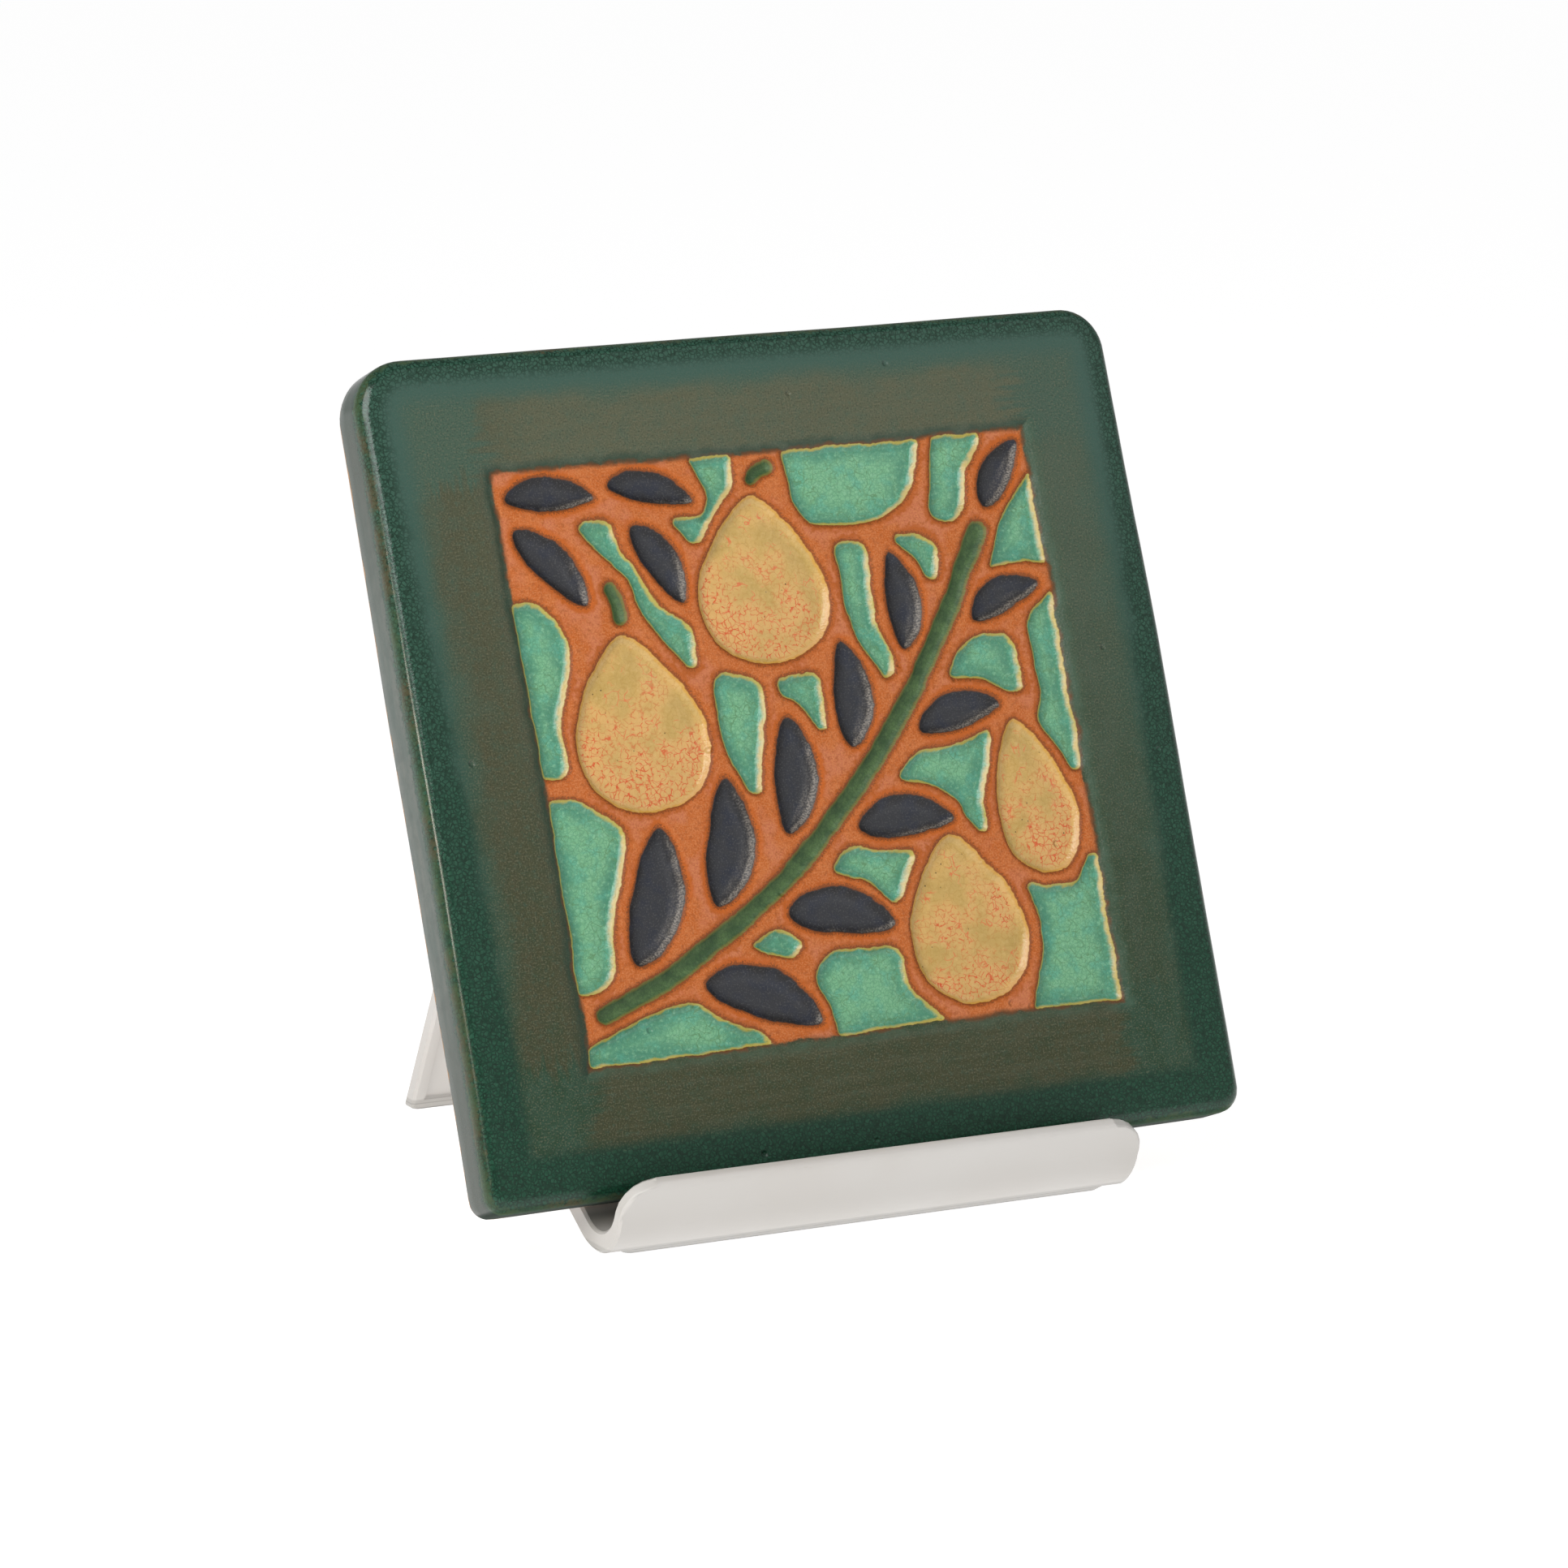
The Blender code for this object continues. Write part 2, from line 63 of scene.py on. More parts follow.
world = bpy.data.worlds.new("studio")
world.use_nodes = True
bpy.context.scene.world = world
sky = world.node_tree
sky_direction = sky.nodes.new("ShaderNodeTexCoord")
sky_axes = sky.nodes.new("ShaderNodeSeparateXYZ")
sky_height = sky.nodes.new("ShaderNodeMapRange")
sky_height.interpolation_type = "SMOOTHSTEP"
sky_height.inputs["From Min"].default_value = 0.02
sky_height.inputs["From Max"].default_value = 0.40
sky_height.inputs["To Min"].default_value = 0.60
sky_height.inputs["To Max"].default_value = 0.22
sky.links.new(sky_direction.outputs["Generated"], sky_axes.inputs[0])
sky.links.new(sky_axes.outputs["Z"], sky_height.inputs["Value"])
sky.links.new(sky_height.outputs["Result"], sky.nodes["Background"].inputs["Strength"])
sky.nodes["Background"].inputs["Color"].default_value = (1.0, 1.0, 1.0, 1.0)

tile_lean = math.radians(20.6)
tile_turn = math.radians(0.58)
tile_axes = Euler((-tile_lean, -tile_turn, 0.0), "YXZ").to_matrix()
tile_across, tile_inward, tile_up = (tile_axes.col[i].copy() for i in range(3))
tile_corners = [vertex.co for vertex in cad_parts["tile"].data.vertices]


def middle_along(direction):
    reach = [corner.dot(direction) for corner in tile_corners]
    return (min(reach) + max(reach)) / 2


tile_front = min(corner.dot(tile_inward) for corner in tile_corners)
tile_middle = (middle_along(tile_across) * tile_across + middle_along(tile_up) * tile_up
               + tile_front * tile_inward)


def add_soft_light(name, direction, distance, size, power, warmth=(1.0, 1.0, 1.0)):
    """A square soft light that faces the tile from a direction."""
    lamp = bpy.data.lights.new(name, "AREA")
    lamp.shape = "SQUARE"
    lamp.size = size
    lamp.energy = power
    lamp.color = warmth
    stand = bpy.data.objects.new(name, lamp)
    stand.location = tile_middle + distance * Vector(direction).normalized()
    stand.rotation_euler = (tile_middle - stand.location).to_track_quat("-Z", "Y").to_euler()
    bpy.context.scene.collection.objects.link(stand)


add_soft_light("key_light", (-0.70, -0.46, 0.80), distance=0.80, size=0.50, power=4.6)
add_soft_light("fill_light", (0.85, -0.70, 0.95), distance=1.0, size=0.6, power=0.9)
add_soft_light("edge_light", (-0.90, -0.40, 0.26), distance=0.9, size=0.12, power=0.95,
               warmth=(1.0, 0.90, 0.78))

lens_turn = math.radians(-27.5246)
lens_height = math.radians(10.9195)
lens_distance = 1.1681
aim_right, aim_up = -0.003556, -0.006234
image_pixels = 1932.0
focal_pixels = 8000.0
sensor_width = 36.0
to_lens = Vector((math.sin(lens_turn) * math.cos(lens_height),
                  -math.cos(lens_turn) * math.cos(lens_height),
                  math.sin(lens_height)))
lens_right = Vector((math.cos(lens_turn), math.sin(lens_turn), 0.0))
lens_up = to_lens.cross(lens_right)
aim = aim_right * lens_right + aim_up * lens_up - to_lens
camera = bpy.data.objects.new("camera", bpy.data.cameras.new("camera"))
camera.data.sensor_width = sensor_width
camera.data.lens = focal_pixels / image_pixels * sensor_width
camera.data.clip_end = 60.0
camera.location = tile_middle + lens_distance * to_lens
camera.rotation_euler = aim.to_track_quat("-Z", "Y").to_euler()
bpy.context.scene.collection.objects.link(camera)
bpy.context.scene.camera = camera


# The easel: one white moulding with a channel in front, a foot pad, a rest and a rear leg.
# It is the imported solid's own form, welded, with its small edge flats shaded as the mould's soft edges.
# The plastic is warm white and half glossy, with faint flow ripples and fine handling marks.

def shade_of(red, green, blue):
    """A colour as seen on screen, 0 to 255, as the linear colour that a shader takes."""
    linear = []
    for value in (red, green, blue):
        value /= 255
        linear.append(value / 12.92 if value <= 0.04045 else ((value + 0.055) / 1.055) ** 2.4)
    return (*linear, 1.0)


class Finish:
    """A material in the making. Each call adds one node and gives its output."""

    def __init__(self, name):
        self.material = bpy.data.materials.new(name)
        self.material.use_nodes = True
        self.tree = self.material.node_tree
        self.shader = self.tree.nodes["Principled BSDF"]

    def node(self, kind, inputs, out=0, **settings):
        made = self.tree.nodes.new("ShaderNode" + kind)
        for name, value in settings.items():
            setattr(made, name, value)
        for key, value in inputs.items():
            if isinstance(value, bpy.types.NodeSocket):
                self.tree.links.new(value, made.inputs[key])
            else:
                made.inputs[key].default_value = value
        return made.outputs[out]

    def maths(self, operation, first, second=0.0):
        return self.node("Math", {0: first, 1: second}, operation=operation)

    def plus(self, first, second):
        return self.maths("ADD", first, second)

    def times(self, first, second):
        return self.maths("MULTIPLY", first, second)

    def most(self, first, *others):
        for other in others:
            first = self.maths("MAXIMUM", first, other)
        return first

    def ease(self, value, low, high, start=0.0, end=1.0):
        """From start to end as the value goes from low to high, with soft ends."""
        limits = {"Value": value, "From Min": low, "From Max": high, "To Min": start, "To Max": end}
        return self.node("MapRange", limits, interpolation_type="SMOOTHSTEP")

    def grain(self, place, size, detail=3.0, roughness=0.5):
        """Cloudy noise from 0 to 1, with blots of about this size."""
        inputs = {"Vector": place, "Scale": 1.0 / size, "Detail": detail, "Roughness": roughness}
        return self.node("TexNoise", inputs)

    def stretched(self, place, along_x, along_y, along_z):
        return self.node("Mapping", {"Vector": place, "Scale": (along_x, along_y, along_z)})

    def crackle(self, place, size, feature="DISTANCE_TO_EDGE"):
        """Distance to the nearest crack of a net with cells of about this size, or with F1 to the
        nearest cell's middle. Both are counted in cells."""
        return self.node("TexVoronoi", {"Vector": place, "Scale": 1.0 / size}, feature=feature)

    def warped(self, place, size, reach):
        """The place, pushed about by noise with blots of this size, by up to about this much."""
        noise_colour = self.node("TexNoise", {"Vector": place, "Scale": 1.0 / size, "Detail": 1.0}, out=1)
        push = self.node("VectorMath", {0: noise_colour, 1: (0.5, 0.5, 0.5)}, operation="SUBTRACT")
        return self.node("VectorMath", {0: push, 1: (2 * reach,) * 3, 2: place}, operation="MULTIPLY_ADD")

    def blend(self, share, under, over):
        """A colour: under where the share is 0, over where it is 1."""
        inputs = {0: share, 6: under, 7: over}
        return self.node("Mix", inputs, out=2, data_type="RGBA")

    def between(self, share, under, over):
        """A number: under where the share is 0, over where it is 1."""
        return self.node("Mix", {0: share, 2: under, 3: over})

    def bump(self, height, depth):
        return self.node("Bump", {"Height": height, "Distance": depth})

    def wear(self, **sockets):
        """Give the shader its colours and numbers."""
        for name, value in sockets.items():
            socket = self.shader.inputs[name.replace("_", " ")]
            if isinstance(value, bpy.types.NodeSocket):
                self.tree.links.new(value, socket)
            else:
                socket.default_value = value
        return self.material


channel_middle = (-0.0514, 0.0117)
channel_radius = 0.0071
pad_height = 0.0023
pad_step = 0.0012
weld_gap = 0.000002
mould_edge_angle = math.radians(38.0)

bpy.ops.object.select_all(action="DESELECT")
easel = bpy.data.objects.new("white_easel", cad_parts["easel"].data.copy())
bpy.context.scene.collection.objects.link(easel)
bpy.context.view_layer.objects.active = easel
easel.select_set(True)
bpy.ops.object.mode_set(mode="EDIT")
bpy.ops.mesh.select_all(action="SELECT")
bpy.ops.mesh.remove_doubles(threshold=weld_gap)
bpy.ops.mesh.tris_convert_to_quads()
bpy.ops.object.mode_set(mode="OBJECT")
bpy.ops.object.shade_smooth_by_angle(angle=mould_edge_angle)
soften = easel.modifiers.new("soft_edges", "WEIGHTED_NORMAL")
soften.keep_sharp = True
bpy.ops.object.modifier_apply(modifier=soften.name)

plastic = Finish("moulded_plastic")
plastic_place = plastic.node("TexCoord", {}, out="Object")
flow = plastic.grain(plastic_place, 0.030, detail=2.0)
grit = plastic.grain(plastic_place, 0.0006, detail=2.0)
scuffs = plastic.grain(plastic.stretched(plastic_place, 1.0, 6.0, 6.0), 0.004, detail=4.0)
plastic_colour = plastic.blend(plastic.ease(flow, 0.35, 0.65), shade_of(204, 200, 195),
                               shade_of(208, 205, 201))
plastic_colour = plastic.blend(plastic.ease(scuffs, 0.66, 0.80, 0.0, 0.35), plastic_colour,
                               shade_of(186, 180, 171))

# Painted shade: greyer towards the foot and on the pad, dark at the pad's step and a contact shadow at the
# table
height = plastic.node("SeparateXYZ", {0: plastic_place}, out="Z")
plastic_colour = plastic.blend(plastic.ease(height, 0.016, 0.003, 0.0, 0.45), plastic_colour,
                               shade_of(190, 186, 181))
pad_shade = plastic.ease(height, pad_height, pad_height - 0.0005, 0.0, 0.8)
plastic_colour = plastic.blend(pad_shade, plastic_colour, shade_of(172, 169, 164))
from_pad_step = plastic.maths("ABSOLUTE", plastic.plus(height, -pad_step))
pad_step_shadow = plastic.ease(from_pad_step, 0.00016, 0.00006, 0.0, 0.5)
plastic_colour = plastic.blend(pad_step_shadow, plastic_colour, shade_of(132, 129, 124))
# A painted contact shadow along the very bottom
plastic_colour = plastic.blend(plastic.ease(height, 0.0003, 0.0001, 0.0, 0.7), plastic_colour,
                               shade_of(112, 109, 104))

# Darker inside the channel, a painted shade where the tile sits in it
section_place = plastic.stretched(plastic_place, 0.0, 1.0, 1.0)
from_channel = plastic.node("VectorMath", {0: section_place, 1: (0.0, *channel_middle)}, out=1,
                            operation="DISTANCE")
channel_shade = plastic.ease(from_channel, channel_radius + 0.0003, channel_radius + 0.00005, 0.0, 0.35)
plastic_colour = plastic.blend(channel_shade, plastic_colour, shade_of(138, 133, 126))
easel.data.materials.clear()
easel.data.materials.append(plastic.wear(
    Base_Color=plastic_colour,
    Roughness=plastic.ease(scuffs, 0.3, 0.75, 0.34, 0.46),
    Normal=plastic.bump(plastic.plus(flow, plastic.times(grit, 0.15)), 0.00004),
    Specular_IOR_Level=0.5,
))
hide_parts("easel")
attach(easel, "root")


# The tile: a slab of pressed clay, bare on its back, with glazes brushed on its face and sides.
# A handmade slab isn't true: the face swells a little, the sides waver and each corner has its own round.
# The picture's fields are hollows in the face. Each has a soft wall, and glaze evens out its floor.

MM = 0.001
half_side = 76.2
slab_thickness = 10.0
face_round = 2.4
back_round = 1.0
corner_rounds = {(1, -1): 4.5, (1, 1): 8.0, (-1, 1): 10.0, (-1, -1): 3.5}
panel_left, panel_right = -53.0, 55.0
panel_bottom, panel_top = -53.0, 54.0
swell = 1.2
panel_sink = 0.75
side_waver = 0.30
face_waver, face_tremble = 0.16, 0.05
cut_waver, cut_tremble = 0.45, 0.15
fine_gap, coarse_gap = 0.46, 1.6
outline_reach = 6.0
far_outside = -20.0


def pear(length, width, steps=64):
    """A pear from its blossom end at the start to its neck."""
    outline = []
    for i in range(steps):
        turn = 2 * math.pi * i / steps
        belly = 0.93 - 0.36 * math.cos(turn) - 0.08 * math.cos(2 * turn)
        outline.append((0.5 * length * (1 + math.cos(turn)), 0.5 * width * belly * math.sin(turn)))
    return outline


def leaf(length, width, bend, steps=22):
    """A curved almond from its stalk to its tip."""
    lower, upper = [], []
    for i in range(steps + 1):
        t = 0.5 - 0.5 * math.cos(math.pi * i / steps)
        middle = 4 * bend * t * (1 - t)
        half = 0.5 * width * math.sin(math.pi * t ** 0.9) ** 0.62
        lower.append((length * t, middle - half))
        upper.append((length * t, middle + half))
    return lower + upper[-2:0:-1]


def along(curve, t):
    """Place and heading at share t of a curve with one control point."""
    (x0, y0), (x1, y1), (x2, y2) = curve
    x = (1 - t) ** 2 * x0 + 2 * t * (1 - t) * x1 + t * t * x2
    y = (1 - t) ** 2 * y0 + 2 * t * (1 - t) * y1 + t * t * y2
    heading = math.atan2((1 - t) * (y1 - y0) + t * (y2 - y1), (1 - t) * (x1 - x0) + t * (x2 - x1))
    return x, y, heading


def twig(curve, width, steps=24, cap=7):
    """A bar of even width along a curve, with round ends."""
    half = width / 2
    stations = [along(curve, i / steps) for i in range(steps + 1)]
    outline = [(x + half * math.sin(a), y - half * math.cos(a)) for x, y, a in stations]
    x, y, heading = stations[-1]
    for i in range(1, cap + 1):
        angle = heading - math.pi / 2 + math.pi * i / (cap + 1)
        outline.append((x + half * math.cos(angle), y + half * math.sin(angle)))
    outline += [(x - half * math.sin(a), y + half * math.cos(a)) for x, y, a in reversed(stations)]
    x, y, heading = stations[0]
    for i in range(1, cap + 1):
        angle = heading + math.pi / 2 + math.pi * i / (cap + 1)
        outline.append((x + half * math.cos(angle), y + half * math.sin(angle)))
    return outline


def patch(corners, steps=8):
    """A background patch with soft corners, nearly square at the frame and tight where they turn in."""
    outline = []
    for i, corner in enumerate(corners):
        here = Vector(corner)
        before = Vector(corners[i - 1]) - here
        after = Vector(corners[(i + 1) % len(corners)]) - here
        framed = corner[0] in (panel_left, panel_right) or corner[1] in (panel_bottom, panel_top)
        turns_out = after.x * before.y - after.y * before.x > 0
        reach = 1.0 if framed else 5.0 if turns_out else 1.8
        cut = min(reach, 0.48 * before.length, 0.48 * after.length)
        start = here + cut * before.normalized()
        end = here + cut * after.normalized()
        for k in range(steps + 1):
            t = k / steps
            outline.append(tuple((1 - t) ** 2 * start + 2 * t * (1 - t) * here + t * t * end))
    return outline


def place(outline, x, y, turn):
    """Turn an outline about its start, then move the start to x, y."""
    c, s = math.cos(turn), math.sin(turn)
    return [(x + u * c - v * s, y + u * s + v * c) for u, v in outline]


hollows = {"green": [], "navy": [], "cream": [], "turquoise": []}

bough = ((-48.5, -44.0), (6.0, -27.0), (42.0, 36.0))
leaf_gap = 4.6
hollows["green"].append(twig(bough, 3.6))
for pair in range(5):
    for side, first in ((1, 0.09), (-1, 0.175)):
        x, y, heading = along(bough, first + 0.178 * pair)
        length = 25.5 - 1.9 * pair - (2.0 if side < 0 else 0.0)
        spread = side * math.radians(49.0 - 3.0 * pair)
        x -= side * leaf_gap * math.sin(heading)
        y += side * leaf_gap * math.cos(heading)
        blade = leaf(length, 0.40 * length, -side * 0.07 * length)
        hollows["navy"].append(place(blade, x, y, heading + spread))
x, y, heading = along(bough, 1.0)
x += leaf_gap * math.cos(heading)
y += leaf_gap * math.sin(heading)
hollows["navy"].append(place(leaf(15.0, 6.6, 0.8), x, y, heading - math.radians(8.0)))

for x, y, heading, length, width in (
    (-31.5, -9.5, 93, 32.5, 25.0),
    (-4.5, 15.0, 86, 31.0, 25.0),
    (26.5, -50.5, 92, 31.0, 23.0),
    (45.8, -28.5, 97, 29.0, 15.5),
):
    hollows["cream"].append(place(pear(length, width), x, y, math.radians(heading)))
hollows["green"].append(twig(((-32.6, 26.2), (-32.4, 28.8), (-33.6, 31.4)), 2.8))
hollows["green"].append(twig(((-1.8, 49.3), (-1.4, 50.4), (1.4, 51.2)), 2.8))

for x, y, heading, length, width in (
    (-51.0, 49.2, -4, 17.5, 6.2),
    (-50.5, 43.2, -50, 18.5, 7.4),
    (-30.5, 50.4, -15, 17.0, 6.2),
    (-27.4, 42.4, -62, 16.5, 7.0),
):
    hollows["navy"].append(place(leaf(length, width, 1.0), x, y, math.radians(heading)))

hollows["turquoise"] = [patch(corners) for corners in (
    ((-53.0, -1.6), (-47.8, -1.6), (-47.6, 8.1), (-43.2, 20.0), (-44.2, 26.2), (-48.7, 30.6),
     (-53.0, 30.6)),
    ((-53.0, -39.8), (-48.5, -39.8), (-45.2, -37.4), (-45.0, -30.9), (-39.0, -14.3), (-39.1, -11.4),
     (-46.9, -5.4), (-53.0, -5.4)),
    ((-29.6, 32.6), (-28.5, 26.2), (-20.9, 16.0), (-18.9, 16.0), (-19.0, 23.8), (-24.3, 26.9),
     (-30.6, 39.3), (-31.0, 43.8), (-39.5, 43.8)),
    ((-53.0, -53.0), (-16.6, -53.0), (-18.8, -50.6), (-25.0, -48.2), (-30.9, -43.4), (-34.9, -43.6),
     (-53.0, -49.4)),
    ((-17.0, 0.7), (-13.4, -7.8), (-10.9, -7.8), (-9.6, -1.3), (-7.2, 6.1), (-7.0, 12.5),
     (-16.8, 15.2)),
    ((-4.0, 9.3), (-0.9, 7.7), (2.6, 2.2), (4.3, 2.2), (4.6, 9.4), (4.0, 13.2), (-4.0, 12.2)),
    ((5.4, 43.7), (8.4, 39.6), (21.9, 39.3), (29.3, 43.1), (33.4, 54.0), (5.0, 54.0)),
    ((-10.9, 46.6), (-12.3, 43.3), (-20.0, 42.8), (-16.6, 38.2), (-14.8, 38.2), (-5.4, 48.4),
     (-5.4, 54.0), (-13.9, 54.0)),
    ((12.6, 20.5), (17.8, 10.0), (19.8, 10.9), (20.4, 13.8), (18.2, 19.9), (19.0, 36.2),
     (12.0, 36.6)),
    ((32.4, 39.1), (37.1, 37.3), (41.2, 41.6), (41.4, 46.6), (45.6, 51.8), (46.0, 54.0),
     (36.2, 54.0)),
    ((24.6, 35.2), (28.9, 31.4), (29.8, 28.0), (31.6, 27.6), (33.4, 31.1), (33.2, 33.6),
     (30.2, 36.4), (25.0, 36.6)),
    ((29.8, 8.9), (36.3, 8.7), (42.9, 5.2), (45.8, 5.2), (45.8, 16.8), (35.4, 16.5)),
    ((46.9, 37.4), (43.3, 30.0), (43.2, 28.8), (49.0, 29.3), (55.0, 28.4), (55.0, 45.6)),
    ((48.8, 19.4), (49.2, 4.3), (47.3, -0.4), (53.1, -10.0), (55.0, -10.0), (55.0, 23.5)),
    ((15.6, -8.5), (23.4, -9.7), (28.8, -13.6), (29.3, -16.6), (31.9, -20.0), (33.6, -19.4),
     (33.4, -14.7), (37.5, -2.8), (36.9, -1.2), (28.0, -3.6), (21.9, -3.3)),
    ((36.8, -53.0), (55.0, -53.0), (55.0, -25.9), (53.0, -25.9), (49.8, -30.7), (43.3, -31.0),
     (40.0, -29.8), (39.2, -30.6), (40.8, -35.9), (40.6, -42.7)),
    ((-3.8, -53.0), (18.4, -53.0), (12.1, -46.2), (11.7, -38.1), (-3.0, -37.7), (-7.3, -42.1),
     (-4.2, -47.5)),
    ((-16.6, -36.2), (-11.5, -38.4), (-9.6, -38.2), (-7.4, -35.5), (-11.8, -32.2), (-17.8, -34.8)),
    ((7.2, -26.0), (11.6, -30.5), (13.4, -30.1), (18.9, -21.4), (11.9, -21.3), (4.9, -18.9),
     (-0.6, -23.6)),
)]


def soft_step(value, low, high):
    share = np.clip((value - low) / (high - low), 0.0, 1.0)
    return share * share * (3 - 2 * share)


def inside_by(u, v, outline):
    """How far points are inside an outline, negative outside it."""
    nearest = np.full(u.shape, 1e6)
    inside = np.zeros(u.shape, bool)
    for (x0, y0), (x1, y1) in zip(outline, outline[1:] + outline[:1]):
        run, rise = x1 - x0, y1 - y0
        share = np.clip(((u - x0) * run + (v - y0) * rise) / max(run * run + rise * rise, 1e-12), 0.0, 1.0)
        nearest = np.minimum(nearest, np.hypot(u - x0 - share * run, v - y0 - share * rise))
        if rise:
            crosses = (y0 > v) != (y1 > v)
            inside ^= crosses & (u < x0 + (v - y0) * run / rise)
    return np.where(inside, nearest, -nearest)


def spread_lines(low, high):
    """Grid lines across the tile: fine over the panel, coarse in the border, and close round the edges."""
    bends = 7
    rounding = [face_round * (1 - math.cos(math.pi / 2 * i / bends)) for i in range(bends)]
    lines = [-half_side + inset for inset in rounding]
    for start, end, gap in ((-half_side + face_round, low, coarse_gap), (low, high, fine_gap),
                            (high, half_side - face_round, coarse_gap)):
        count = max(1, round((end - start) / gap))
        lines += [start + (end - start) * i / count for i in range(count)]
    return np.array(lines + [half_side - inset for inset in [face_round] + rounding[::-1]])


across_lines = spread_lines(panel_left - coarse_gap, panel_right + coarse_gap)
up_lines = spread_lines(panel_bottom - coarse_gap, panel_top + coarse_gap)

bpy.ops.object.select_all(action="DESELECT")
bpy.ops.mesh.primitive_grid_add(
    x_subdivisions=len(across_lines) - 1, y_subdivisions=len(up_lines) - 1, size=1.0)
tile = bpy.context.object
tile.name = "glazed_tile"
points = np.empty(len(tile.data.vertices) * 3)
tile.data.vertices.foreach_get("co", points)
points = points.reshape(-1, 3)
u = across_lines[np.rint((points[:, 0] + 0.5) * (len(across_lines) - 1)).astype(int)]
v = up_lines[np.rint((points[:, 1] + 0.5) * (len(up_lines) - 1)).astype(int)]

inset = np.minimum(half_side - np.abs(u), half_side - np.abs(v))
for (right, top), radius in corner_rounds.items():
    a = right * u - (half_side - radius)
    b = top * v - (half_side - radius)
    corner = (a > 0) & (b > 0)
    ring = np.maximum(a, b)[corner]
    angle = math.pi / 4 * np.minimum(a, b)[corner] / ring
    steep = b[corner] > a[corner]
    angle = np.where(steep, math.pi / 2 - angle, angle)
    u[corner] = right * (half_side - radius + ring * np.cos(angle))
    v[corner] = top * (half_side - radius + ring * np.sin(angle))
    inset[corner] = radius - ring
short_of_flat = np.maximum(face_round - inset, 0.0)
drop = face_round - np.sqrt(np.maximum(0.0, face_round ** 2 - short_of_flat ** 2))
tile.data.vertices.foreach_set("co", np.stack([u, v, -drop], 1).ravel())

bpy.ops.object.mode_set(mode="EDIT")
bpy.ops.mesh.select_mode(type="EDGE")
bpy.ops.mesh.select_all(action="DESELECT")
bpy.ops.mesh.select_non_manifold(extend=False)
wall_steps = 3
wall_drop = (slab_thickness - face_round - back_round) / wall_steps
for _ in range(wall_steps):
    bpy.ops.mesh.extrude_edges_move(TRANSFORM_OT_translate={"value": (0.0, 0.0, -wall_drop)})
back_bends = 4
for i in range(back_bends):
    lower = [math.sin(math.pi / 2 * (i + k) / back_bends) for k in (0, 1)]
    inward = [1 - math.cos(math.pi / 2 * (i + k) / back_bends) for k in (0, 1)]
    shrink = (half_side - back_round * inward[1]) / (half_side - back_round * inward[0])
    bpy.ops.mesh.extrude_edges_move(
        TRANSFORM_OT_translate={"value": (0.0, 0.0, -back_round * (lower[1] - lower[0]))})
    bpy.ops.transform.resize(value=(shrink, shrink, 1.0), center_override=(0.0, 0.0, 0.0))
bpy.ops.mesh.edge_face_add()
bpy.ops.mesh.select_mode(type="VERT")
bpy.ops.mesh.select_all(action="SELECT")
bpy.ops.mesh.normals_make_consistent(inside=False)
bpy.ops.object.mode_set(mode="OBJECT")

points = np.empty(len(tile.data.vertices) * 3)
tile.data.vertices.foreach_get("co", points)
u, v, w = points.reshape(-1, 3).T.copy()
on_face = np.zeros(len(u), bool)
on_face[:len(inset)] = True
rim = np.where(on_face, np.pad(inset, (0, len(u) - len(inset))), face_round + w)


def ripple(size, which, seed):
    """Slow noise from -1 to 1 over the tile, with blots of this size, for the chosen vertices."""
    made = np.zeros(len(u))
    for i in np.nonzero(which)[0]:
        made[i] = noise.noise((u[i] / size + seed, v[i] / size, seed))
    return made


def panel_depth(u, v):
    """How far points are inside the picture's panel, negative in the border."""
    sideways = np.minimum(u - panel_left, panel_right - u)
    return np.minimum(sideways, np.minimum(v - panel_bottom, panel_top - v))


near_panel = on_face & (panel_depth(u, v) > -5.0)
everywhere = np.ones(len(u), bool)
cut_u = (u + cut_waver * ripple(7.0, near_panel, seed=3.1)
         + cut_tremble * ripple(2.2, near_panel, seed=8.4))
cut_v = (v + cut_waver * ripple(7.0, near_panel, seed=5.7)
         + cut_tremble * ripple(2.2, near_panel, seed=1.9))
inside_panel = panel_depth(cut_u, cut_v) + 0.40 * ripple(5.0, near_panel, seed=14.2)

# Navy hollows are dished, green ones are plain grooves, and the others rise a little to their middle
glaze_inside = {kind: np.full(len(u), far_outside) for kind in hollows}
hollow_depth = np.zeros(len(u))
low_in_pear = np.zeros(len(u))
for kind, outlines in hollows.items():
    for outline in outlines:
        low_u, low_v = np.min(outline, 0) - outline_reach
        high_u, high_v = np.max(outline, 0) + outline_reach
        in_reach = (cut_u > low_u) & (cut_u < high_u) & (cut_v > low_v) & (cut_v < high_v)
        close = np.nonzero(near_panel & in_reach)[0]
        inside = inside_by(cut_u[close], cut_v[close], outline)
        glaze_inside[kind][close] = np.maximum(glaze_inside[kind][close], inside)
        if kind == "navy":
            depth = 0.85 * soft_step(inside, -0.40, 1.1) + 0.75 * soft_step(inside, 0.4, 3.4)
        elif kind == "green":
            depth = 1.25 * soft_step(inside, -0.45, 1.3)
        else:
            depth = 1.30 * soft_step(inside, -0.45, 1.25) - 0.22 * soft_step(inside, 1.2, 5.0)
        hollow_depth[close] = np.maximum(hollow_depth[close], depth)
        if kind == "cream":
            sunk = (high_v - cut_v[close]) / (high_v - low_v)
            low_in_pear[close] = np.where(inside > -1.5, sunk, low_in_pear[close])

